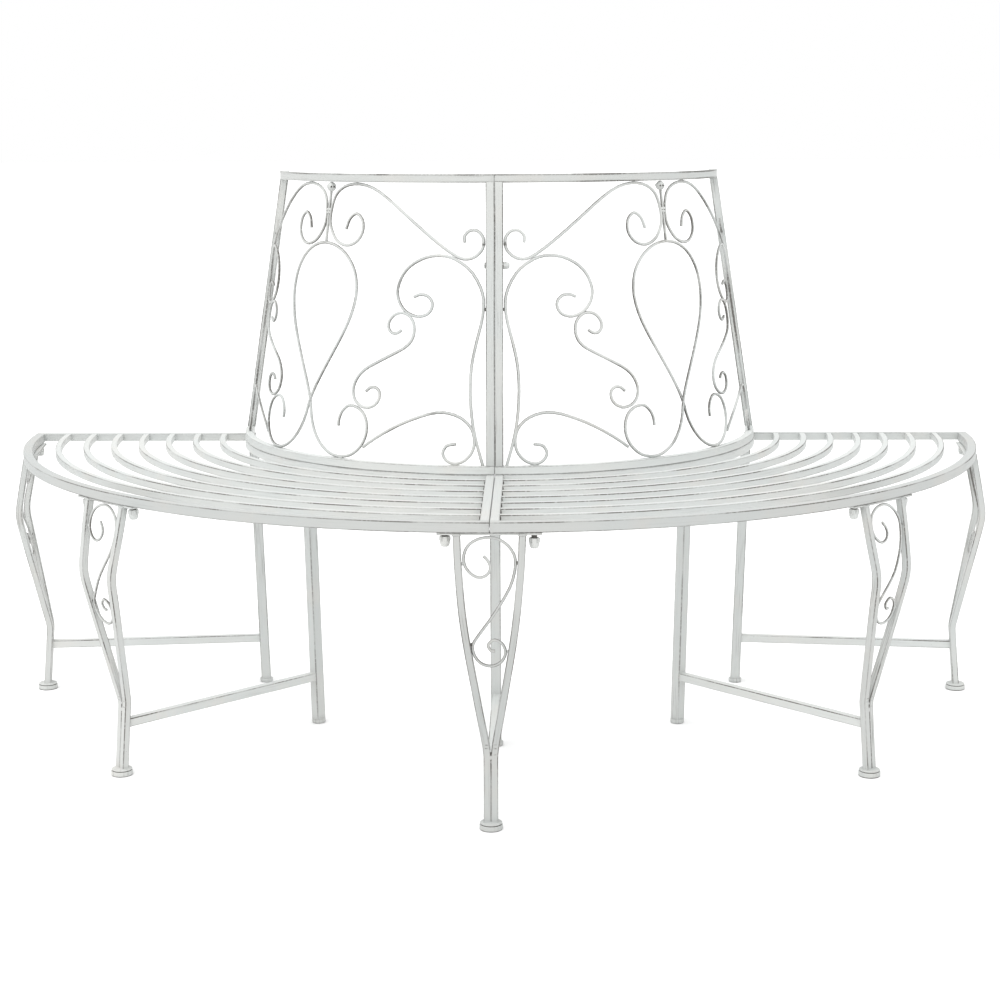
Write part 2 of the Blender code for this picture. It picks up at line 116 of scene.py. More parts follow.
# Scrollwork of one back panel, right of its middle line: millimetres along the arc, millimetres
# above the seat. The left side is the mirror image.
TOP_SCROLL = [
    (43, 362), (49, 378), (62, 386), (75, 376), (77, 358), (66, 343), (46, 337.5), (23, 346),
    (7, 368), (5.8, 392), (14, 415), (34, 428), (62, 431), (92, 424), (125, 405), (165, 376),
    (205, 347), (231, 330), (250, 321), (267, 323), (278.5, 335), (278.5, 351), (269, 362),
    (257, 363), (249.5, 355), (251, 345),
]
HEART_LOOP = [
    (-3, 341), (14, 339.5), (30, 335), (46, 326.5), (60, 314), (71, 298), (77, 279), (78, 257),
    (72, 231), (61, 206), (46, 179), (30, 152), (16, 128), (6, 109), (-1, 92), (-5, 76),
    (-11, 60), (-22, 43), (-38, 28), (-58, 18), (-78, 15.6), (-98, 20), (-114, 33), (-122, 50),
    (-122, 68), (-114, 84), (-100, 93), (-84, 94), (-73, 85), (-68, 73), (-68, 62),
]
BIG_SCROLL = [
    (180, 263), (190, 267), (202, 265), (210, 257), (211, 247), (205, 238), (192, 234),
    (178, 237), (165, 245), (155, 259), (152, 276), (158, 296), (171, 311), (190, 321.5),
    (210, 325.5), (230, 323.5), (248, 315.5), (265, 303), (279, 285), (288, 266), (291, 246),
    (290, 224), (286, 196), (283, 166), (284, 136), (288, 106), (294, 78), (302, 52), (311, 29),
    (318.5, 10.5),
]
SMALL_SCROLL = [
    (166, 213), (158, 208), (149, 209), (143, 217), (144, 227), (152, 236), (164, 239),
    (176, 234.5), (184.5, 224), (187, 209), (183, 196), (173, 186), (155, 176), (130, 163),
    (109, 151), (96, 137), (91, 121), (95, 106), (106, 96.5), (120, 93.5), (133, 98), (140, 108),
    (139, 119), (131, 125), (122, 124), (115, 118),
]
CORNER_SCROLL = [
    (120, 33), (136, 45), (158, 59), (182, 72), (208, 83), (230, 90), (250, 91.5), (269, 87),
    (284.5, 78), (295.5, 65), (300.5, 48), (298, 32), (288, 20), (274, 15.6), (261, 20), (254, 31),
    (259, 42), (273, 45),
]
# Scroll between the bars of an outer leg: millimetres along the arc, millimetres above the floor
LEG_SCROLL = [
    (-8, 386), (-1, 378), (1, 369), (-4, 361), (-14, 358), (-25, 363), (-33, 374), (-34, 388),
    (-27, 401), (-12, 409), (7, 409.5), (23, 401), (33, 387), (34.2, 370), (28, 347), (14, 322),
    (0, 301), (-14, 281), (-22.6, 266), (-21, 251), (-12, 239), (2, 235), (15, 241), (21, 254),
    (17, 267), (6, 273), (-2, 266), (1, 258), (7, 257),
]

# How far the wear of a corner reaches into the flat faces beside it
WEAR_BAND = 0.0007
# Dirt on a weld runs from 0, clean paint, to 1, dark metal. This much leaves only a fleck here and there
LIGHT_GRIME = 0.1
# Colours of bare steel, which painted shade also takes, and of steel that shows through thin paint
BARE_AND_SHADE = (0.060, 0.054, 0.047)
RUBBED = (0.20, 0.195, 0.185)

# Camera, with its angles in degrees
CAMERA_PLACE = (0.0600, -2.9506, 0.9409)
CAMERA_PITCH = 10.60
CAMERA_YAW = -1.022
CAMERA_ROLL = -0.25
CAMERA_LENS = 70.88


# ---------------------------------------------------------------- paint


class Graph:
    """A material's nodes, made and linked in short calls."""

    def __init__(self, name):
        self.material = bpy.data.materials.new(name)
        self.material.use_nodes = True
        self.tree = self.material.node_tree
        self.shader = self.tree.nodes["Principled BSDF"]

    def node(self, kind, **settings):
        made = self.tree.nodes.new(kind)
        for key, value in settings.items():
            setattr(made, key, value)
        return made

    def feed(self, socket, value):
        """Sets an input to a number or colour, or links it to another node's output."""
        if isinstance(value, bpy.types.NodeSocket):
            self.tree.links.new(value, socket)
        elif hasattr(value, "__len__") and len(value) == 3 and socket.type == "RGBA":
            socket.default_value = (*value, 1.0)
        else:
            socket.default_value = value

    def math(self, operation, first, second=0.0, clamp=False):
        made = self.node("ShaderNodeMath", operation=operation, use_clamp=clamp)
        self.feed(made.inputs[0], first)
        self.feed(made.inputs[1], second)
        return made.outputs[0]

    def fed(self, kind, output, inputs, **settings):
        """Makes a node, feeds its inputs and gives this output of it."""
        made = self.node(kind, **settings)
        for key, value in inputs.items():
            self.feed(made.inputs[key], value)
        return made.outputs[output]

    def ramp(self, value, low, high, to_low=0.0, to_high=1.0):
        """Maps low..high smoothly to to_low..to_high."""
        inputs = {"Value": value, "From Min": low, "From Max": high, "To Min": to_low, "To Max": to_high}
        return self.fed("ShaderNodeMapRange", "Result", inputs, interpolation_type="SMOOTHSTEP")

    def scaled(self, vector, scale):
        return self.fed("ShaderNodeMapping", "Vector", {"Vector": vector, "Scale": scale})

    def noise(self, vector, scale, detail, roughness):
        inputs = {"Vector": vector, "Scale": scale, "Detail": detail, "Roughness": roughness}
        return self.fed("ShaderNodeTexNoise", "Fac", inputs)

    def mix(self, share, first, second):
        inputs = {"Factor": share, "A": first, "B": second}
        return self.fed("ShaderNodeMix", "Result", inputs, data_type="RGBA")

    def attribute(self, name):
        return self.node("ShaderNodeAttribute", attribute_name=name).outputs["Fac"]


def brushed_white(graph, along, place, light, cool, warm, brushing):
    """The paint itself: clouds of cooler and warmer white with brush lines and a fine grain."""
    clouds = graph.noise(place, 4.0, 2.0, 0.5)
    patches = graph.noise(place, 17.0, 3.0, 0.5)
    brush = graph.noise(graph.scaled(along, (22.0, 760.0, 1.0)), 1.0, 4.0, 0.6)
    grain = graph.noise(place, 700.0, 2.0, 0.6)
    paint = graph.mix(graph.ramp(clouds, 0.38, 0.62), cool, light)
    paint = graph.mix(graph.ramp(patches, 0.50, 0.75, 0.0, 0.6), paint, warm)
    paint = graph.mix(graph.ramp(brush, 0.50, 0.80, 0.0, brushing), paint, RUBBED)
    return graph.mix(graph.ramp(grain, 0.55, 0.85, 0.0, 0.08), paint, RUBBED), brush, grain


def worn_paint(name, level, edges, brushing, rubs, width, least=0.34, most=1.15):
    """Brushed off-white paint over dark steel.

    level is how light the paint is, edges how dark the worn corners get, brushing how strong the
    brush lines are, and rubs how much bare metal shows in streaks along the bar. width is how many
    streaks fit in a metre round the bar. least and most scale the wear of the corners in the best
    and the worst stretches of a bar.
    """
    light = (level, 1.018 * level, 0.990 * level)
    cool = (0.968 * level, 1.004 * level, 0.986 * level)
    warm = (1.022 * level, 1.010 * level, 0.964 * level)
    graph = Graph(name)
    along = graph.node("ShaderNodeUVMap", uv_map="Along").outputs["UV"]
    place = graph.node("ShaderNodeTexCoord").outputs["Object"]
    paint, brush, grain = brushed_white(graph, along, place, light, cool, warm, brushing)
    chips = graph.noise(place, 260.0, 3.0, 0.6)
    stretches = graph.noise(graph.scaled(along, (9.0, 12.0, 1.0)), 1.0, 2.0, 0.5)

    # Worn corners: darker in some stretches of the bar than in others, and broken by chips
    worn = graph.math("MULTIPLY", graph.attribute("edge"), graph.ramp(stretches, 0.38, 0.60, least, most))
    worn = graph.math("MULTIPLY", worn, graph.ramp(chips, 0.34, 0.54, 0.55, 1.1))
    worn = graph.math("MULTIPLY", worn, edges, clamp=True)

    # Rubs: thin streaks along the bar, in the stretches where the brush ran dry
    streak = graph.noise(graph.scaled(along, (16.0, width, 1.0)), 1.0, 3.0, 0.5)
    dry = graph.noise(graph.scaled(along, (6.0, 20.0, 1.0)), 1.0, 1.0, 0.5)
    rub = graph.math("MULTIPLY", graph.ramp(streak, 0.53, 0.66), graph.ramp(dry, 0.44, 0.62, 0.15, 1.0))
    rub = graph.math("MULTIPLY", rub, rubs)
    speck = graph.ramp(chips, 0.72, 0.78, 0.0, 0.6)
    bare = graph.math("MAXIMUM", worn, graph.math("MAXIMUM", rub, speck))

    # Weld dirt and painted shade, their outline broken by the chips
    broken = graph.math("MULTIPLY", graph.math("SUBTRACT", chips, 0.5), 0.6)
    dirt_and_shade = graph.ramp(graph.math("ADD", graph.attribute("grime"), broken), 0.35, 0.75, 0.0, 0.94)
    colour = graph.mix(bare, paint, graph.mix(grain, BARE_AND_SHADE, RUBBED))
    colour = graph.mix(dirt_and_shade, colour, BARE_AND_SHADE)
    graph.feed(graph.shader.inputs["Base Color"], colour)

    shine = graph.math("ADD", graph.math("MULTIPLY", brush, 0.18), 0.40)
    graph.feed(graph.shader.inputs["Roughness"], graph.math("ADD", shine, graph.math("MULTIPLY", bare, 0.18)))
    graph.shader.inputs["Specular IOR Level"].default_value = 0.30

    height = graph.math("ADD", graph.math("MULTIPLY", brush, 0.5), graph.math("MULTIPLY", grain, 0.2))
    height = graph.math("SUBTRACT", height, graph.math("MULTIPLY", bare, 0.4))
    bump = graph.node("ShaderNodeBump")
    bump.inputs["Strength"].default_value = 0.30
    bump.inputs["Distance"].default_value = 0.0003
    graph.feed(bump.inputs["Height"], height)
    graph.feed(graph.shader.inputs["Normal"], bump.outputs["Normal"])
    return graph.material


def make_paints():
    """One paint for each material slot of the record, a more streaked coat of one, and lighter and darker
    copies of them that paint in light and shade, some of these also fresher or more worn.
    """
    # name, level, edges, brushing, rubs, width, and where they aren't the usual ones least and most
    return {
        "seat_paint": worn_paint("seat_paint_worn", 0.540, 0.90, 0.05, 0.10, 480.0),
        # A darker copy of the seat paint for the outer rims: painted shade
        "shaded_rim_paint": worn_paint("seat_paint_shaded", 0.468, 0.90, 0.05, 0.10, 480.0),
        # A lighter copy of the seat paint for the slats, inner rims, leg plates and stretchers: painted light
        "lit_seat_paint": worn_paint("seat_paint_lit", 0.585, 0.95, 0.06, 0.12, 480.0),
        # A lighter copy of the back paint with fewer rubs, for the bottom rails: painted light
        "fresh_lit_rail_paint": worn_paint("back_paint_fresh_lit", 0.630, 0.95, 0.06, 0.12, 480.0),
        "back_paint": worn_paint("back_paint_worn", 0.530, 0.95, 0.10, 0.22, 480.0),
        "post_paint": worn_paint("back_paint_streaked", 0.590, 1.00, 0.22, 0.55, 850.0),
        "wire_paint": worn_paint("wire_paint_worn", 0.562, 1.00, 0.12, 0.72, 210.0, 0.27, 1.70),
        # A darker copy of the wire paint with more rubs, for the front leg's scroll: painted shade and
        # heavier wear
        "shaded_worn_wire_paint": worn_paint("wire_paint_shaded_worn", 0.480, 1.00, 0.20, 1.10, 210.0, 0.60, 2.00),
        # A darker copy of the leg paint for the front leg: painted shade
        "shaded_leg_paint": worn_paint("leg_paint_shaded", 0.446, 0.95, 0.10, 0.40, 480.0),
        "leg_paint": worn_paint("leg_paint_worn", 0.498, 0.95, 0.12, 0.60, 620.0),
        # A lighter copy of the leg paint with fewer rubs, for the inner legs and the outer legs other than
        # front and mid_right: painted light
        "fresh_lit_leg_paint": worn_paint("leg_paint_fresh_lit", 0.538, 0.95, 0.12, 0.40, 480.0),
    }


# ---------------------------------------------------------------- mesh building


class Shape:
    """A mesh being built. Each face knows where it lies along and around its bar, and each corner
    knows how exposed an edge it is on and how much weld grime and painted shade it has."""

    count = 0

    def __init__(self):
        # Each shape starts at another place of the paint's streaks, so that no two look alike
        Shape.count += 1
        self.start = 1.37 * Shape.count
        self.mesh = bmesh.new()
        self.along = self.mesh.loops.layers.uv.new("Along")
        self.edge = self.mesh.verts.layers.float.new("edge")
        self.grime = self.mesh.verts.layers.float.new("grime")

    def point(self, place, edge=0.0, grime=0.0):
        made = self.mesh.verts.new(place)
        made[self.edge] = edge
        made[self.grime] = grime
        return made

    def face(self, corners, places):
        made = self.mesh.faces.new(corners)
        made.smooth = True
        for loop, (u, v) in zip(made.loops, places):
            loop[self.along].uv = (self.start + u, v)

    def tube(self, rings, us, vs):
        """Skins rings of points that have the same count, and closes both ends. us holds each
        ring's distance along, vs each point's distance round, with the full round at its end."""
        count = len(rings[0])
        for row in range(len(rings) - 1):
            for side in range(count):
                after = (side + 1) % count
                self.face(
                    (rings[row][side], rings[row][after], rings[row + 1][after], rings[row + 1][side]),
                    ((us[row], vs[side]), (us[row], vs[side + 1]), (us[row + 1], vs[side + 1]),
                     (us[row + 1], vs[side])),
                )
        for ring, u in ((rings[0], us[0]), (rings[-1], us[-1])):
            self.face(ring, [(u, v) for v in vs[:count]])


def add_object(name, data):
    made = bpy.data.objects.new(name, data)
    bpy.context.scene.collection.objects.link(made)
    return made


def finish_piece(shape, name, slot, node, paint=None):
    """Turns the shape into a piece that rides on the frame and stands for this CAD node. paint is the
    look it gets when that isn't the slot's usual one."""
    bmesh.ops.recalc_face_normals(shape.mesh, faces=shape.mesh.faces)
    mesh = bpy.data.meshes.new(name)
    shape.mesh.to_mesh(mesh)
    shape.mesh.free()
    mesh.set_sharp_from_angle(angle=radians(38))
    mesh.materials.append(PAINTS[paint or slot])
    piece = add_object(name, mesh)
    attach(piece, "root")
    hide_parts(node)


def finish_painted(shape, node, slot, paint=None):
    """Finishes a bar that is named after its CAD node."""
    finish_piece(shape, node + "_painted", slot, node, paint)


def square_section(width, height, rounding, wear, band=WEAR_BAND):
    """A rectangle with rounded corners, as (x, y, edge). The corners run (+,-), (+,+), (-,+), (-,-)
    and wear is how exposed each one is. The wear ends this band in from a corner's rounding."""
    section = []
    corners = ((1, -1, -90), (1, 1, 0), (-1, 1, 90), (-1, -1, 180))
    for (sign_x, sign_y, start), exposed in zip(corners, wear):
        centre_x = sign_x * (width / 2 - rounding)
        centre_y = sign_y * (height / 2 - rounding)
        first = radians(start)
        last = radians(start + 90)
        section.append((centre_x + rounding * cos(first) + band * sin(first),
                        centre_y + rounding * sin(first) - band * cos(first), 0.0))
        for step, share in enumerate((0.75, 1.0, 1.0, 0.75)):
            turn = radians(start + 30 * step)
            section.append((centre_x + rounding * cos(turn), centre_y + rounding * sin(turn),
                            share * exposed))
        section.append((centre_x + rounding * cos(last) - band * sin(last),
                        centre_y + rounding * sin(last) + band * cos(last), 0.0))
    return section


def round_section(radius):
    """A circle as (x, y, edge). The paint is thin on the two sides that lie in the scrollwork's plane."""
    sides = 16
    section = []
    for k in range(sides):
        turn = 2 * pi * k / sides
        thin = max(0.0, cos(turn)) ** 2 * 0.95 + max(0.0, -cos(turn)) ** 2 * 0.60
        section.append((radius * cos(turn), radius * sin(turn), thin))
    return section


def sweep(shape, place, distances, section, rounding, grime=None, exposure=None, end_wear=0.6):
    """Runs a section along a bar. place(distance, x, y) gives a point, distances are the stations
    from 0 to the length, and the ends are eased by rounding. grime(distance) is the weld dirt and painted
    shade, and exposure(distance) scales the wear of the corners. end_wear is the wear round the two ends."""
    length = distances[-1]
    inner = rounding + WEAR_BAND
    clear = 1.5 * rounding
    # Distance from the end, inset of the section, and wear
    eases = [(0.0, inner, 0.0), (0.0, rounding, 0.5), (0.3 * rounding, 0.3 * rounding, 1.0),
             (rounding, 0.0, 0.3)]
    stations = eases + [(distance, 0.0, 0.0) for distance in distances if clear < distance < length - clear]
    stations += [(length - distance, inset, wear) for distance, inset, wear in reversed(eases)]
    reach_x = max(abs(x) for x, _, _ in section)
    reach_y = max(abs(y) for _, y, _ in section)
    rings = []
    for distance, inset, wear in stations:
        shrink_x = 1 - inset / reach_x
        shrink_y = 1 - inset / reach_y
        dirt_and_shade = grime(distance) if grime else 0.0
        scale = exposure(distance) if exposure else 1.0
        ring = []
        for x, y, edge in section:
            exposed = 0.0 if inset == inner else max(edge * scale, wear * end_wear)
            ring.append(shape.point(place(distance, x * shrink_x, y * shrink_y), exposed, dirt_and_shade))
        rings.append(ring)
    around_section = [0.0]
    for (x0, y0, _), (x1, y1, _) in zip(section, section[1:] + section[:1]):
        around_section.append(around_section[-1] + hypot(x1 - x0, y1 - y0))
    shape.tube(rings, [distance for distance, _, _ in stations], around_section)


def follow(points, facings):
    """place and distances for a bar along points. Its y axis is the facing, made square to the path."""
    distances = [0.0]
    for first, second in zip(points, points[1:]):
        distances.append(distances[-1] + (second - first).length)
    axes = []
    for index, facing in enumerate(facings):
        along = (points[min(index + 1, len(points) - 1)] - points[max(index - 1, 0)]).normalized()
        x_axis = along.cross(facing).normalized()
        axes.append((x_axis, x_axis.cross(along).normalized()))

    def place(distance, x, y):
        index = 0
        while index < len(distances) - 2 and distance > distances[index + 1]:
            index += 1
        share = (distance - distances[index]) / (distances[index + 1] - distances[index])
        centre = points[index].lerp(points[index + 1], share)
        x_axis = axes[index][0].lerp(axes[index + 1][0], share).normalized()
        y_axis = axes[index][1].lerp(axes[index + 1][1], share).normalized()
        return centre + x_axis * x + y_axis * y

    return place, distances


def straight_bar(shape, start, end, facing, steps, section, rounding, **looks):
    """A straight bar. looks may hold sweep's grime, exposure and end_wear."""
    points = [start.lerp(end, step / steps) for step in range(steps + 1)]
    sweep(shape, *follow(points, [facing] * len(points)), section, rounding, **looks)


def ways_round(first, second, sides):
    """Directions evenly round a circle, from first towards second."""
    return [first * cos(2 * pi * k / sides) + second * sin(2 * pi * k / sides) for k in range(sides)]


def lathe(shape, centre, axis, profile, sides, edge_rows, grime_rows):
    """A round body about an axis. profile is (radius, distance along the axis), and edge_rows and
    grime_rows are the rows of it that are worn and dirty."""
    u_axis = axis.orthogonal().normalized()
    ways = ways_round(u_axis, axis.cross(u_axis), sides)
    rings = []
    us = [0.0]
    for row, (radius, reach) in enumerate(profile):
        if row:
            us.append(us[-1] + hypot(radius - profile[row - 1][0], reach - profile[row - 1][1]))
        edge = 1.0 if row in edge_rows else 0.0
        grime = 1.0 if row in grime_rows else 0.0
        rings.append([shape.point(centre + axis * reach + way * radius, edge, grime) for way in ways])
    shape.tube(rings, us, [2 * pi * 0.01 * k / sides for k in range(sides + 1)])


def bead(shape, centre, axes, lumps, grime=0.0):
    """A blob of weld: a ball stretched along three axes. lumps is how uneven its surface is."""
    rows, sides = 9, 14
    rings = []
    for row in range(rows):
        tilt = pi * (row + 0.5) / rows - pi / 2
        ring = []
        for k in range(sides):
            turn = 2 * pi * k / sides
            way = Vector((cos(tilt) * cos(turn), cos(tilt) * sin(turn), sin(tilt)))
            way = way * (1 + lumps * noise.noise(way * 1.9 + centre * 310))
            place = centre + axes[0] * way.x + axes[1] * way.y + axes[2] * way.z
            ring.append(shape.point(place, 0.0, grime))
        rings.append(ring)
    shape.tube(rings, [0.001 * row for row in range(rows)], [0.001 * k for k in range(sides + 1)])


def upright_axes(x, y, z):
    """The three half axes of a bead that stands square to the world."""
    return Vector((x, 0, 0)), Vector((0, y, 0)), Vector((0, 0, z))


def ball_axes(size):
    return upright_axes(size, size, size)


def weld_line(shape, start, end, radius, grime=0.0):
    """A run of weld between two points: a thin rod whose thickness ripples."""
    run = end - start
    count = max(3, round(run.length / (0.9 * radius)))
    along = run.normalized()
    side = along.orthogonal().normalized()
    ways = ways_round(side, along.cross(side), 10)
    rings = []
    for step in range(2 * count + 1):
        share = step / (2 * count)
        centre = start.lerp(end, share)
        swell = radius * (0.86 + 0.14 * (step % 2) + 0.22 * noise.noise(centre * 420))
        swell *= min(1.0, 0.35 + 2.4 * min(share, 1 - share) * count / 2)
        rings.append([shape.point(centre + way * swell, 0.0, grime) for way in ways])
    shape.tube(rings, [run.length * step / (2 * count) for step in range(2 * count + 1)],
               [2 * pi * radius * k / 10 for k in range(11)])


def weld_round(shape, corner, radius):
    """Weld along the four sides of a bar's end. corner(x, y) is where the corner with these signs is."""
    corners = [corner(x, y) for x, y in ((-1, -1), (1, -1), (1, 1), (-1, 1))]
    for first, second in zip(corners, corners[1:] + corners[:1]):
        weld_line(shape, first, second, radius, LIGHT_GRIME)


# ---------------------------------------------------------------- places


def around(radius, angle, height):
    """The point at this distance, angle and height about the tree's axis."""
    return Vector((radius * sin(angle), TREE_Y - radius * cos(angle), height))


def outward(angle):
    return Vector((sin(angle), -cos(angle), 0.0))


def tangent(angle):
    return Vector((cos(angle), sin(angle), 0.0))


def smooth_through(knots, most_turn=7.5, longest=0.012):
    """Points of a smooth curve through the knots, closer together where it bends."""
    fine = []
    for index in range(len(knots) - 1):
        before = knots[max(index - 1, 0)]
        start = knots[index]
        end = knots[index + 1]
        after = knots[min(index + 2, len(knots) - 1)]
        for part in range(12):
            t = part / 12
            fine.append(
                0.5 * (2 * start + (end - before) * t + (2 * before - 5 * start + 4 * end - after) * t**2
                       + (3 * start - before - 3 * end + after) * t**3)
            )
    fine.append(knots[-1])
    kept = [fine[0]]
    turned = 0.0
    run = 0.0
    for index in range(1, len(fine) - 1):
        leaving = fine[index + 1] - fine[index]
        arriving = fine[index] - fine[index - 1]
        turned += degrees(arriving.angle(leaving))
        run += arriving.length
        if turned > most_turn or run > longest:
            kept.append(fine[index])
            turned = 0.0
            run = 0.0
    kept.append(fine[-1])
    return kept


def rod(shape, points, facings, radius, spots=()):
    """A round rod along points. spots lists (point, reach) of dark weld marks on it."""
    place, distances = follow(points, facings)

    def grime(distance):
        here = place(distance, 0.0, 0.0)
        return max((max(0.0, 1 - (here - spot).length / reach) for spot, reach in spots), default=0.0)

    sweep(shape, place, distances, round_section(radius), 0.0006, grime)


# ---------------------------------------------------------------- seat


def bent_bar(shape, side, middle, level, seam_face, end_face, section, steps, fade):
    """A bar whose middle line is bent to a quarter ring at this level, with flat ends, at seam_face
    from x = 0 and end_face from the back. fade is how much less its corners are worn at the far end
    than at the seam."""
    length = middle * (pi / 2 - asin(seam_face / middle) - asin(end_face / middle))

    def place(distance, x, y):
        radius = middle + x
        start = asin(seam_face / radius)
        stop = pi / 2 - asin(end_face / radius)
        return around(radius, side * (start + (stop - start) * distance / length), level + y)

    sweep(shape, place, [length * step / steps for step in range(steps + 1)], section, 0.0005,
          exposure=lambda distance: 1 - fade * distance / length, end_wear=0.3)


def quarter_rims(word, side):
    """The outer rim, and the inner rim under the back."""
    # The outer rims take a darker copy of the seat paint, painted shade, and the inner rims a lighter copy,
    # painted light.
    for label, radius, width, height, seam_face, wear, steps, fade, paint in (
        ("outer", RIM_RADIUS, RIM_WIDTH, RIM_HEIGHT, SEAM_GAP, (1.1, 1.3, 0.45, 0.3), 84,
         0.35 if side > 0 else 0.7, "shaded_rim_paint"),
        ("inner", INNER_RIM_RADIUS, INNER_RIM_WIDTH, BAR, SEAM_GAP + BAR, (0.3, 0.6, 0.5, 0.3), 54, 0.5,
         "lit_seat_paint"),
    ):
        shape = Shape()
        section = square_section(width, height, 0.0010, wear)
        bent_bar(shape, side, radius - width / 2, SEAT_TOP - height / 2, seam_face, BAR, section, steps, fade)
        finish_painted(shape, "seat_rim_%s_%s" % (label, word), "seat_paint", paint)


def quarter_slats(word, side):
    """Seven bent slats with a dark spot of weld at the seam bar and two paler ones at the far bar."""
    seam_face = SEAM_GAP + BAR
    section = square_section(SLAT_WIDTH, SLAT_HEIGHT, 0.0009, (0.5, 1.2, 0.6, 0.4), 1.3 * WEAR_BAND)
    for index in range(SLAT_COUNT):
        middle = SLAT_FIRST_RADIUS + SLAT_PITCH * index
        shape = Shape()
        bent_bar(shape, side, middle, SEAT_TOP - SLAT_HEIGHT / 2, seam_face, BAR, section, 64,
                 0.3 if side > 0 else 0.6)
        seam = Vector((side * (seam_face + 0.0004), TREE_Y - middle - SLAT_WIDTH / 2, SEAT_TOP - 0.0045))
        bead(shape, seam, upright_axes(0.0012, 0.0009, 0.0032), 0.25, 1.0)
        for radius in (middle - SLAT_WIDTH / 2, middle + SLAT_WIDTH / 2):
            end = Vector((side * radius, TREE_Y - BAR - 0.0004, SEAT_TOP - 0.0065))
            bead(shape, end, upright_axes(0.0009, 0.0014, 0.0036), 0.25, 0.45)
        # The slats take a lighter copy of the seat paint: painted light.
        finish_painted(shape, "seat_slat_%d_%s" % (index + 1, word), "seat_paint", "lit_seat_paint")


def quarter_radial_bars(word, side):
    """The bar along the centre seam and the bar at the far end."""
    near = INNER_RIM_RADIUS - INNER_RIM_WIDTH
    level = SEAT_TOP - BAR / 2
    across = side * (SEAM_GAP + BAR / 2)
    back = TREE_Y - BAR / 2
    for label, start, end, wear, rounding, end_wear in (
        ("seam", (across, TREE_Y - RIM_RADIUS + RIM_WIDTH, level), (across, TREE_Y - near, level),
         (0.2, 0.25, 0.25, 0.2), 0.0002, 0.0),
        ("end", (side * near, back, level), (side * RIM_RADIUS, back, level), (0.3, 0.5, 0.5, 0.3), 0.0006,
         0.3),
    ):
        shape = Shape()
        section = square_section(BAR, BAR, 0.0010, wear)
        straight_bar(shape, Vector(start), Vector(end), UP, 16, section, rounding, end_wear=end_wear)
        finish_painted(shape, "seat_bar_%s_%s" % (label, word), "seat_paint")


# ---------------------------------------------------------------- back


def back_radius(height):
    """Outer radius of the back at this height above the floor."""
    share = (height - SEAT_TOP) / (BACK_TOP - SEAT_TOP)
    return BACK_BOTTOM_RADIUS + (BACK_TOP_RADIUS - BACK_BOTTOM_RADIUS) * share


def back_rails(word, side):
    """The square tubes along the bottom and the top of the back."""
    # The bottom rails take a lighter copy of the back paint with fewer rubs: painted light.
    for label, low, wear, band, paint in (
        ("bottom", SEAT_TOP + GAP, (0.75, 0.60, 0.5, 0.4), WEAR_BAND, "fresh_lit_rail_paint"),
        ("top", BACK_TOP - BACK_TUBE, (1.5 if side > 0 else 0.6, 2.0, 0.8, 0.5), 3 * WEAR_BAND, "back_paint"),
    ):
        shape = Shape()
        level = low + BACK_TUBE / 2
        section = square_section(BACK_TUBE, BACK_TUBE, 0.0010, wear, band)
        bent_bar(shape, side, back_radius(level) - BACK_TUBE / 2, level, SEAM_GAP, 0.0, section, 54,
                 0.35 if side > 0 else 0.7)
        finish_painted(shape, "back_rail_%s_%s" % (label, word), "back_paint", paint)


def back_posts(word, side):
    """The square tubes at the centre seam and at the far end, which lean with the back."""
    wear = {"seam": (0.6, 1.4, 0.9, 0.5) if side > 0 else (0.5, 0.4, 1.0, 0.6), "end": (1.0, 1.0, 1.0, 1.0)}
    low = SEAT_TOP + GAP + BACK_TUBE - 0.0004
    high = BACK_TOP - BACK_TUBE + 0.0004
    for label in ("seam", "end"):
        shape = Shape()
        ends = []
        for height in (low, high):
            reach = back_radius(height) - BACK_TUBE / 2
            if label == "seam":
                ends.append(Vector((side * (SEAM_GAP + BACK_TUBE / 2), TREE_Y - reach, height)))
            else:
                ends.append(Vector((side * reach, TREE_Y - BACK_TUBE / 2, height)))
        facing = Vector((0, -1, 0)) if label == "seam" else Vector((side, 0, 0))
        section = square_section(BACK_TUBE, BACK_TUBE, 0.0010, wear[label])
        straight_bar(shape, *ends, facing, 30, section, 0.0002, end_wear=0.0)
        post_welds(shape, ends, facing)
        if label == "seam":
            seam_bolt(shape, side)
        finish_painted(shape, "back_post_%s_%s" % (label, word), "back_paint",
                       "post_paint" if label == "end" else None)


def seam_shadow():
    """A dark strip of painted shade that fills the gap between the two centre posts and between the ends of
    the rails.
    """
    shape = Shape()
    ends = [Vector((0.0, TREE_Y - back_radius(height) + BACK_TUBE / 2 + 0.0004, height))
            for height in (SEAT_TOP + 0.0010, BACK_TOP - 0.0010)]
    section = [(x * (SEAM_GAP - 0.0001), y * (BACK_TUBE / 2 - 0.0008), 0.0)
               for x, y in ((1, -1), (1, 0), (1, 1), (-1, 1), (-1, 0), (-1, -1))]
    # The grime value makes the strip dark: this is painted shade in the gap, not dirt.
    straight_bar(shape, *ends, Vector((0, -1, 0)), 24, section, 0.0001, grime=lambda distance: 0.55,
                 end_wear=0.0)
    finish_piece(shape, "back_seam_shade", "back_paint", "back_post_seam_left")


def post_welds(shape, ends, facing):
    """Ground welds across the outer face of a post where it meets the rails."""
    across = UP.cross(facing).normalized() * (BACK_TUBE / 2 - 0.0006)
    for centre in ends:
        front = centre + facing * (BACK_TUBE / 2 - 0.0004)
        weld_line(shape, front - across, front + across, 0.0006)


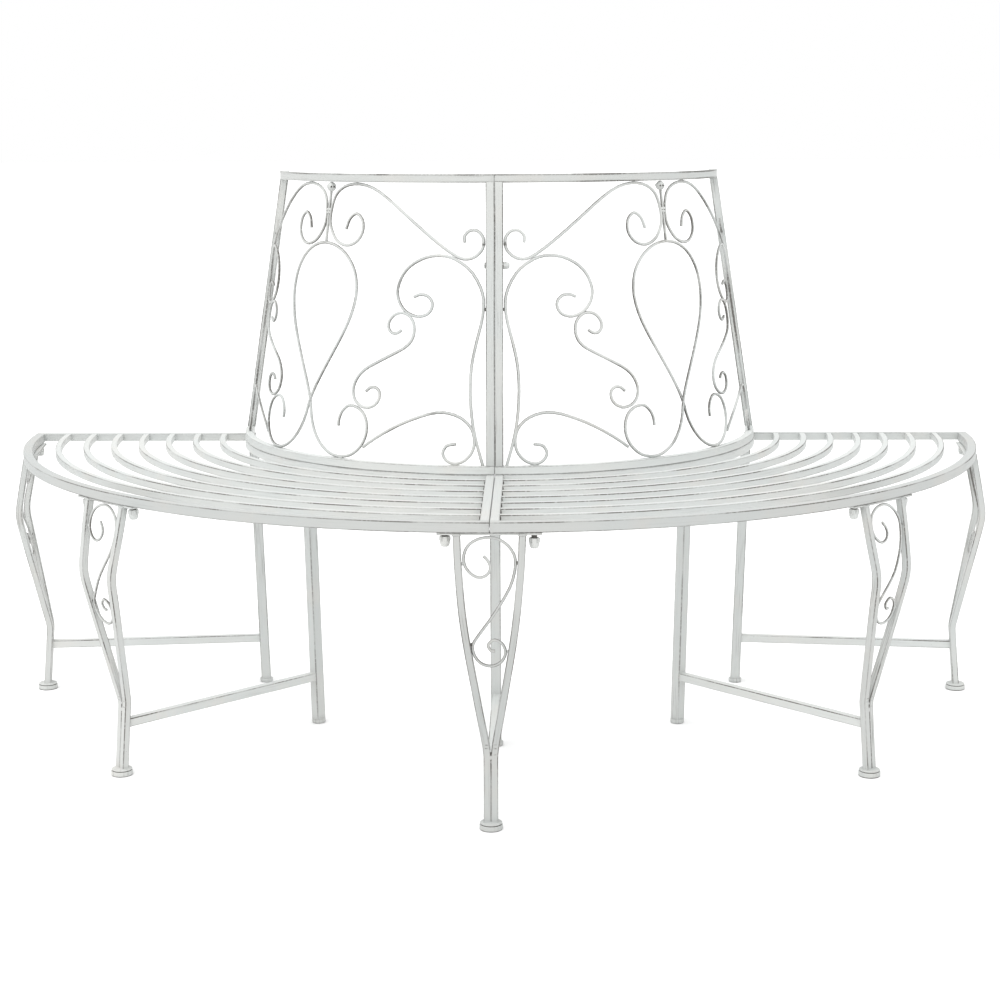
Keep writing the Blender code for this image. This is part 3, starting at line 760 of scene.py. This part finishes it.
def seam_bolt(shape, side):
    """The bolt through the two centre posts: a cap nut on the right, a low round head on the left."""
    reach = back_radius(SEAM_BOLT_HEIGHT) - BACK_TUBE / 2
    face = Vector((side * (SEAM_GAP + BACK_TUBE), TREE_Y - reach, SEAM_BOLT_HEIGHT))
    axis = Vector((side, 0, 0))
    if side > 0:
        washer = [(0.0052, -0.0008), (0.0052, 0.0008), (0.0048, 0.0012)]
        lathe(shape, face, axis, washer, 28, (1,), (0,))
        cap_nut(shape, face + axis * 0.0008, axis, Vector((0, 0.3, 1)), 0.0056, 0.0045, 0.0045)
    else:
        head = [(0.0044, -0.0006), (0.0044, 0.0010), (0.0038, 0.0019), (0.0024, 0.0026), (0.0008, 0.0029)]
        lathe(shape, face, axis, head, 24, (1,), (0,))


def cap_nut(shape, base, axis, side_way, radius, height, dome):
    """A six-sided nut with eased corners that ends in a blunt dome. One corner points along side_way,
    and radius is the distance from the axis to a corner."""
    u_axis = (side_way - axis * side_way.dot(axis)).normalized()
    sides = 36
    ways = ways_round(u_axis, axis.cross(u_axis), sides)
    rings = []
    # How far the corners reach, how high, and how worn they are
    for limit, level, wear in ((0.90, 0.0, 0.0), (1.0, 0.07, 0.5), (1.0, 0.90, 0.5), (0.93, 1.0, 0.0)):
        ring = []
        for k, way in enumerate(ways):
            hexagon = cos(pi / 6) / cos(2 * pi * k / sides % (pi / 3) - pi / 6)
            reach = radius * min(hexagon, limit)
            ring.append(shape.point(base + axis * height * level + way * reach, 0.0 if k % 6 else wear))
        rings.append(ring)
    for swell, level in ((0.91, 0.02), (0.90, 0.25), (0.86, 0.50), (0.77, 0.75), (0.63, 0.92), (0.45, 0.99),
                         (0.15, 1.0)):
        middle = base + axis * (height + dome * level)
        rings.append([shape.point(middle + way * radius * swell) for way in ways])
    shape.tube(rings, [0.0006 * row for row in range(len(rings))],
               [2 * pi * radius * k / sides for k in range(sides + 1)])


def on_panel(side, across, up, forward=0.0):
    """The point of the wire surface at this place of a panel's pattern, and the outward direction."""
    height = SEAT_TOP + up / 1000
    radius = back_radius(height) - BACK_TUBE / 2 + forward
    laid_out = radius + PATTERN_SLACK * (height - SEAT_TOP) / (BACK_TOP - SEAT_TOP)
    angle = side * pi / 4 + across / 1000 / laid_out
    return around(radius, angle, height), Vector((sin(angle), -cos(angle), 0.15)).normalized()


def panel_rod(shape, side, mirror, knots, forward=0.0, grime_at=()):
    """A rod of the scrollwork. mirror is 1 for the right of the panel's middle line and -1 for the
    left. grime_at lists (x, y, reach) of dark weld marks, in the pattern's millimetres."""
    flat = smooth_through([Vector((across / 1000, up / 1000)) for across, up in knots])
    placed = [on_panel(side, mirror * point.x * 1000, point.y * 1000, forward) for point in flat]
    spots = [(on_panel(side, mirror * x, y, forward)[0], reach / 1000) for x, y, reach in grime_at]
    rod(shape, [point for point, _ in placed], [normal for _, normal in placed], WIRE_RADIUS, spots)


def panel_bead(shape, side, mirror, x, y, size, grime):
    """A spot of weld at this place of a panel's pattern. size is its half width, half height and half
    depth, in millimetres."""
    centre, normal = on_panel(side, mirror * x, y)
    across = UP.cross(normal).normalized()
    bead(shape, centre, (across * size[0] / 1000, UP * size[1] / 1000, normal * size[2] / 1000), 0.22, grime)


def panel_piece(name, node, side, mirror, knots, beads, forward=0.0, grime_at=()):
    """One rod of the scrollwork with its spots of weld. beads lists (x, y, size, grime)."""
    shape = Shape()
    panel_rod(shape, side, mirror, knots, forward, grime_at)
    for x, y, size, grime in beads:
        panel_bead(shape, side, mirror, x, y, size, grime)
    finish_piece(shape, name, "wire_paint", node)


def panel_heart(word, side):
    """The pear loop's two rods, which cross just in front of and just behind each other."""
    for label, mirror in (("right", 1), ("left", -1)):
        beads = [(-79, 14.2, (5.0, 1.6, 2.0), LIGHT_GRIME)]
        if mirror == 1:
            beads.append((0, 341, (3.0, 2.6, 2.4), LIGHT_GRIME))
        panel_piece("back_heart_%s_%s_rod" % (word, label), "back_heart_" + word, side, mirror, HEART_LOOP,
                    beads, mirror * CROSSING, ((-2, 90, 5), (-78, 15.6, 3)))


def panel_stem(word, side):
    """The stem between the top scrolls, with two rings of weld on it and a rough ball on top."""
    shape = Shape()
    panel_rod(shape, side, 1, [(0, 424), (0, 400), (0, 370), (0, 342)], grime_at=((0, 421, 6),))
    for height, size in ((391, (7.6, 2.6, 3.0)), (386.5, (7.2, 2.2, 2.8))):
        panel_bead(shape, side, 1, 0, height, size, 0.12)
    centre, _ = on_panel(side, 0, 426.2)
    bead(shape, centre, ball_axes(BALL_RADIUS), 0.06)
    for step in range(9):
        turn = 2.4 * step
        way = Vector((sin(turn) * 0.8, -cos(turn * 1.7), sin(turn * 1.3) * 0.8)).normalized()
        bead(shape, centre + way * BALL_RADIUS * 0.9, ball_axes(0.0015), 0.3, 0.2 if step % 3 else 0.7)
    finish_piece(shape, "back_stem_" + word, "wire_paint", "back_heart_" + word)


def panel_scrolls(word, side):
    """The scrolls on both sides of the pear loop. outer is the side of the far post."""
    for mirror in (1, -1):
        half = "outer" if mirror == side else "inner"
        place = "%s_%s" % (half, word)
        top_beads = [
            (56, 432.4, (6.0, 1.4, 2.0), LIGHT_GRIME),
            (280.6, 343, (1.8, 2.8, 2.0), 1.0 if half == "outer" else 0.6),
            (42, 337.6, (5.5, 2.0, 2.2), LIGHT_GRIME),
        ]
        if half == "outer":
            top_beads.append((58, 431.4, (1.5, 1.3, 2.6), 1.0))
        panel_piece("back_top_scroll_%s_rod" % place, "back_top_scroll_" + place, side, mirror, TOP_SCROLL,
                    top_beads, grime_at=((278.5, 343, 6),))
        for label, knots, beads, grime_at in (
            ("big", BIG_SCROLL, [
                (293.2, 246, (1.8, 3.0, 2.0), 0.8),
                (180, 235.4, (4.0, 1.8, 2.2), LIGHT_GRIME),
                (236, 323.6, (5.0, 1.8, 2.0), LIGHT_GRIME),
            ], ((291, 246, 5),)),
            ("small", SMALL_SCROLL, [(121, 92.6, (4.0, 1.8, 2.2), LIGHT_GRIME)], ()),
            ("corner", CORNER_SCROLL, [
                (275, 14.2, (5.0, 1.6, 2.0), LIGHT_GRIME),
                (300.6, 53, (2.0, 4.0, 2.2), LIGHT_GRIME),
                (121, 34, (2.4, 2.4, 2.2), LIGHT_GRIME),
            ], ()),
        ):
            panel_piece("back_%s_scroll_%s" % (label, place), "back_scrolls_" + place, side, mirror, knots,
                        beads, grime_at=grime_at)


# ---------------------------------------------------------------- legs


def between(table, height):
    """The value at this height, read from a smooth curve through a table of (height, value)."""
    if height <= table[0][0]:
        return table[0][1]
    for index in range(len(table) - 1):
        if height <= table[index + 1][0]:
            break
    (x0, y0), (x1, y1) = table[index], table[index + 1]
    before = table[max(index - 1, 0)]
    after = table[min(index + 2, len(table) - 1)]
    slope_in = (y1 - before[1]) / (x1 - before[0])
    slope_out = (after[1] - y0) / (after[0] - x0)
    t = min(1.0, (height - x0) / (x1 - x0))
    step = x1 - x0
    return ((2 * t**3 - 3 * t**2 + 1) * y0 + (t**3 - 2 * t**2 + t) * step * slope_in
            + (3 * t**2 - 2 * t**3) * y1 + (t**3 - t**2) * step * slope_out)


def leg_point(angle, across, radius, height):
    """A point of an outer leg: across runs along the arc, and radius out from the tree."""
    return around(radius, angle, height) + tangent(angle) * across


def frame_angle(word):
    """The direction an outer leg's frame faces, as an angle about the tree's axis."""
    return radians(LEG_ANGLES[word] + LEG_TURNS.get(word, 0.0))


def frame_point(word, across, radius, height):
    """A point of an outer leg's frame, which may be turned and set in a little from its place."""
    middle = around(LEG_MIDDLE, radians(LEG_ANGLES[word]), height)
    reach = radius - LEG_MIDDLE - LEG_INSETS.get(word, 0.0)
    return middle + outward(frame_angle(word)) * reach + tangent(frame_angle(word)) * across


def leg_coat(word):
    """The paint of an outer leg: a darker copy, painted shade, on the front one, and a lighter copy with
    fewer rubs, painted light, on the others than on mid_right.
    """
    return {"front": "shaded_leg_paint", "mid_right": "leg_paint"}.get(word, "fresh_lit_leg_paint")


def leg_bars(word):
    """The two bent square bars of an outer leg, with the weld at the foot of the V."""
    node = "leg_frame_" + word
    section = square_section(LEG_BAR, LEG_BAR, 0.0009, (0.9, 1.0, 1.0, 0.9))
    bottom = 0.0095
    top = SEAT_TOP - RIM_HEIGHT - PLATE_THICKNESS + 0.0002
    for label, hand in (("a", -1), ("b", 1)):
        shape = Shape()
        heights = [bottom + (top - bottom) * step / 90 for step in range(91)]
        points = [frame_point(word, hand * between(LEG_SPREAD, height), between(LEG_SIDE, height), height)
                  for height in heights]
        facings = [outward(frame_angle(word))] * len(points)
        sweep(shape, *follow(points, facings), section, 0.0003, end_wear=0.0)
        plate_weld(shape, word, hand, top)
        if hand == 1:
            vee_weld(shape, word)
        # leg_coat picks this leg's copy of the paint, which paints in light and shade.
        finish_piece(shape, "leg_bar_%s_%s" % (label, word), "leg_paint", node, paint=leg_coat(word))


def plate_weld(shape, word, hand, top):
    """Weld round the top of a bar, under the plate."""
    across = hand * between(LEG_SPREAD, top)
    radius = between(LEG_SIDE, top)
    half = LEG_BAR / 2
    weld_round(shape, lambda x, y: frame_point(word, across + x * half, radius + y * half, top - 0.0004),
               0.0010)


def vee_weld(shape, word):
    """The ground weld that closes the V, with a dark pit in it, a light lump of weld on each bar, and thin
    dark marks above and below the lumps and one lower down; those just below the lumps are painted shade."""
    way = tangent(frame_angle(word))
    out = outward(frame_angle(word))
    # Across, height, half width, half height and darkness of each bead. The dark marks just under the two
    # lumps are painted shade.
    for across, height, half_wide, half_high, grime in (
        (0.0000, 0.1000, 0.0022, 0.0030, LIGHT_GRIME), (0.0003, 0.1060, 0.0016, 0.0020, 1.00),
        (-0.0004, 0.1100, 0.0014, 0.0018, LIGHT_GRIME), (-0.0058, 0.1185, 0.0034, 0.0007, 0.56),
        (-0.0060, 0.1160, 0.0030, 0.0020, LIGHT_GRIME), (-0.0062, 0.1134, 0.0026, 0.0005, 0.54),
        (0.0060, 0.1190, 0.0030, 0.0006, 0.52), (0.0062, 0.1162, 0.0028, 0.0021, LIGHT_GRIME),
        (0.0062, 0.1132, 0.0026, 0.0006, 0.56), (0.0056, 0.1045, 0.0024, 0.0008, 0.48),
    ):
        centre = frame_point(word, across, between(LEG_SIDE, height) + LEG_BAR / 2 - 0.0002, height)
        bead(shape, centre, (way * half_wide, UP * half_high, out * 0.0006), 0.25, grime)


def leg_plate(word, angle):
    """The flat plate under the rim, with its two cap nuts on short dark studs. The front leg's right
    nut isn't screwed quite home."""
    shape = Shape()
    under = SEAT_TOP - RIM_HEIGHT - GAP - PLATE_THICKNESS
    level = under + PLATE_THICKNESS / 2
    section = square_section(PLATE_WIDTH, PLATE_THICKNESS, 0.0006, (0.8, 0.8, 0.8, 0.8))
    straight_bar(shape, leg_point(angle, -PLATE_LENGTH / 2, PLATE_MIDDLE, level),
                 leg_point(angle, PLATE_LENGTH / 2, PLATE_MIDDLE, level), UP, 12, section, 0.0006)
    stud = [(0.0040, -0.0006), (0.0040, 0.0060)]
    for hand, gap in ((-1, 0.0028), (1, 0.0052 if word == "front" else 0.0028)):
        base = leg_point(angle, hand * NUT_SPREAD, PLATE_MIDDLE, under)
        lathe(shape, base, -UP, stud, 20, (), (0, 1))
        cap_nut(shape, base - UP * gap, -UP, tangent(angle), NUT_RADIUS, 0.0066, 0.0078)
    # The plate and nuts take a lighter copy of the seat paint: painted light against the shade under the rim.
    finish_piece(shape, "leg_plate_" + word, "leg_paint", "leg_frame_" + word, paint="lit_seat_paint")


def leg_foot(word):
    """The round foot: a disc with a thinner one on it, and a dark groove between them."""
    shape = Shape()
    top = 0.0110
    # Inset from the foot's radius, and height
    steps = [
        (0.0014, 0.0000), (0.0005, 0.0004), (0.0000, 0.0011), (0.0000, 0.0018), (0.0000, 0.0066),
        (0.0004, 0.0073), (0.0013, 0.0077), (0.0014, 0.0083), (0.0008, 0.0088), (0.0006, 0.0093),
        (0.0008, 0.0100), (0.0018, 0.0106),
    ]
    profile = [(0.0040, 0.0)] + [(FOOT_RADIUS - inset, height) for inset, height in steps]
    profile.append((0.0040, top))
    # The three lowest rows get full edge wear, which darkens the foot's bottom edge.
    lathe(shape, frame_point(word, 0.0, LEG_SIDE[0][1], 0.0), UP, profile, 48, (1, 2, 3), (7, 8))
    radius = between(LEG_SIDE, top)
    weld_round(shape, lambda x, y: frame_point(word, x * LEG_BAR, radius + y * LEG_BAR / 2, top), 0.0010)
    # leg_coat picks this leg's copy of the paint, which paints in light and shade.
    finish_piece(shape, "leg_foot_" + word, "leg_paint", "leg_frame_" + word, paint=leg_coat(word))


def leg_scroll(word):
    """The thin S-scroll that fills the V, with its four spots of weld."""
    shape = Shape()
    flat = smooth_through([Vector((across / 1000, up / 1000)) for across, up in LEG_SCROLL])
    points = [frame_point(word, point.x, between(LEG_SIDE, point.y), point.y) for point in flat]
    rod(shape, points, [outward(frame_angle(word))] * len(points), LEG_WIRE_RADIUS)
    for across, height, grime in ((-0.0362, 0.376, 0.2), (0.0372, 0.377, 0.9), (-0.0245, 0.266, 0.8),
                                  (0.0250, 0.256, 0.3)):
        centre = frame_point(word, across, between(LEG_SIDE, height), height)
        axes = (tangent(frame_angle(word)) * 0.0026, UP * 0.0024, outward(frame_angle(word)) * 0.0022)
        bead(shape, centre, axes, 0.25, grime)
    # The front leg's scroll takes a darker copy of the wire paint with more rubs: painted shade and heavier
    # wear.
    finish_piece(shape, "leg_scroll_%s_rod" % word, "wire_paint", "leg_scroll_" + word,
                 paint="shaded_worn_wire_paint" if word == "front" else None)


def inner_leg_radius(height):
    """Distance of an inner leg's middle from the tree's axis: it leans out a little towards the rim."""
    share = height / (SEAT_TOP - BAR)
    return INNER_LEG_FOOT_RADIUS + (INNER_LEG_TOP_RADIUS - INNER_LEG_FOOT_RADIUS) * share


def inner_leg(word, angle):
    """A square tube under the inner rim, on a round glide."""
    node = "leg_inner_" + word
    shape = Shape()
    low = 0.0055
    high = SEAT_TOP - BAR - 0.0002
    section = square_section(INNER_LEG, INNER_LEG, 0.0014, (0.5, 0.6, 0.6, 0.5))
    half = INNER_LEG / 2
    radius = inner_leg_radius(high)
    straight_bar(shape, leg_point(angle, 0.0, inner_leg_radius(low), low),
                 leg_point(angle, 0.0, radius, high), outward(angle), 40, section, 0.0005, end_wear=0.4)
    weld_round(shape, lambda x, y: leg_point(angle, x * half, radius + y * half, high), 0.0010)
    # The tube takes a lighter copy of the leg paint with fewer rubs: painted light against the shade under
    # the seat.
    finish_piece(shape, "leg_inner_%s_tube" % word, "leg_paint", node, paint="fresh_lit_leg_paint")
    glide = Shape()
    # Inset from the glide's radius, and height
    steps = [
        (0.0022, 0.0000), (0.0008, 0.0006), (0.0001, 0.0018), (0.0000, 0.0030), (0.0000, 0.0056),
        (0.0003, 0.0064), (0.0012, 0.0069),
    ]
    profile = [(0.0030, 0.0)] + [(GLIDE_RADIUS - inset, height) for inset, height in steps]
    profile.append((0.0030, 0.0070))
    lathe(glide, leg_point(angle, 0.0, INNER_LEG_FOOT_RADIUS, 0.0), UP, profile, 40, (), (8,))
    finish_piece(glide, "leg_glide_" + word, "leg_paint", node)


def stretcher(word, angle):
    """The level bar between an inner and an outer leg, welded at both ends, and most worn near the
    outer one."""
    shape = Shape()
    inner = inner_leg_radius(STRETCHER_Z) + INNER_LEG / 2 - 0.0002
    outer = between(LEG_SIDE, STRETCHER_Z) - LEG_BAR / 2 + 0.0002 - LEG_INSETS.get(word, 0.0)
    section = square_section(STRETCHER, STRETCHER, 0.0010, (0.4, 0.9, 0.9, 0.4))
    straight_bar(shape, leg_point(angle, 0.0, inner, STRETCHER_Z), leg_point(angle, 0.0, outer, STRETCHER_Z),
                 UP, 30, section, 0.0003, end_wear=0.0,
                 exposure=lambda distance: 0.7 + 0.9 * distance / (outer - inner))
    half = STRETCHER / 2
    for radius in (inner, outer):
        weld_round(shape, lambda x, y: leg_point(angle, x * half, radius, STRETCHER_Z + y * half), 0.0009)
    # The bar takes a lighter copy of the seat paint: painted light.
    finish_piece(shape, "leg_stretcher_%s_bar" % word, "leg_paint", "leg_stretcher_" + word,
                 paint="lit_seat_paint")


# ---------------------------------------------------------------- studio


def studio_floor():
    """A plain matt white floor, far wider than the view."""
    mesh = bpy.data.meshes.new("floor")
    size = 60.0
    corners = [(-size, -size, 0.0), (size, -size, 0.0), (size, size, 0.0), (-size, size, 0.0)]
    mesh.from_pydata(corners, [], [(0, 1, 2, 3)])
    graph = Graph("floor_pale")
    graph.shader.inputs["Base Color"].default_value = (0.90, 0.90, 0.90, 1.0)
    graph.shader.inputs["Roughness"].default_value = 1.0
    graph.shader.inputs["Specular IOR Level"].default_value = 0.0
    mesh.materials.append(graph.material)
    add_object("floor", mesh)


def studio_light():
    """An even white surround, and a broad soft light from above the front."""
    world = bpy.data.worlds.new("studio")
    bpy.context.scene.world = world
    world.use_nodes = True
    surround = world.node_tree.nodes["Background"]
    surround.inputs["Color"].default_value = (1.0, 1.0, 1.0, 1.0)
    surround.inputs["Strength"].default_value = 1.0
    lamp = bpy.data.lights.new("overhead", "SUN")
    lamp.energy = 1.9
    lamp.angle = radians(60)
    add_object("overhead", lamp).rotation_euler = (radians(20), radians(-10), 0.0)


def make_camera():
    """The camera in front of the bench, just right of its middle, looking slightly down."""
    lens = bpy.data.cameras.new("camera")
    lens.lens = CAMERA_LENS
    lens.sensor_width = 36.0
    camera = add_object("camera", lens)
    pitch = radians(CAMERA_PITCH)
    yaw = radians(CAMERA_YAW)
    roll = radians(CAMERA_ROLL)
    forward = Vector((sin(yaw) * cos(pitch), cos(yaw) * cos(pitch), -sin(pitch)))
    level = Vector((cos(yaw), -sin(yaw), 0.0))
    upright = level.cross(forward)
    right = level * cos(roll) + upright * sin(roll)
    up = upright * cos(roll) - level * sin(roll)
    turn = Matrix((right, up, -forward)).transposed()
    camera.matrix_world = Matrix.Translation(CAMERA_PLACE) @ turn.to_4x4()
    bpy.context.scene.camera = camera


# ---------------------------------------------------------------- build

PAINTS = make_paints()
make_camera()
studio_floor()
studio_light()
bpy.context.scene.view_settings.view_transform = "Standard"

for side_word, side_sign in (("left", -1), ("right", 1)):
    quarter_rims(side_word, side_sign)
    quarter_slats(side_word, side_sign)
    quarter_radial_bars(side_word, side_sign)
    back_rails(side_word, side_sign)
    back_posts(side_word, side_sign)
    panel_heart(side_word, side_sign)
    panel_stem(side_word, side_sign)
    panel_scrolls(side_word, side_sign)
seam_shadow()
for leg_word, leg_degrees in LEG_ANGLES.items():
    leg_angle = radians(leg_degrees)
    leg_bars(leg_word)
    leg_plate(leg_word, leg_angle)
    leg_foot(leg_word)
    leg_scroll(leg_word)
    inner_leg(leg_word, leg_angle)
    stretcher(leg_word, leg_angle)
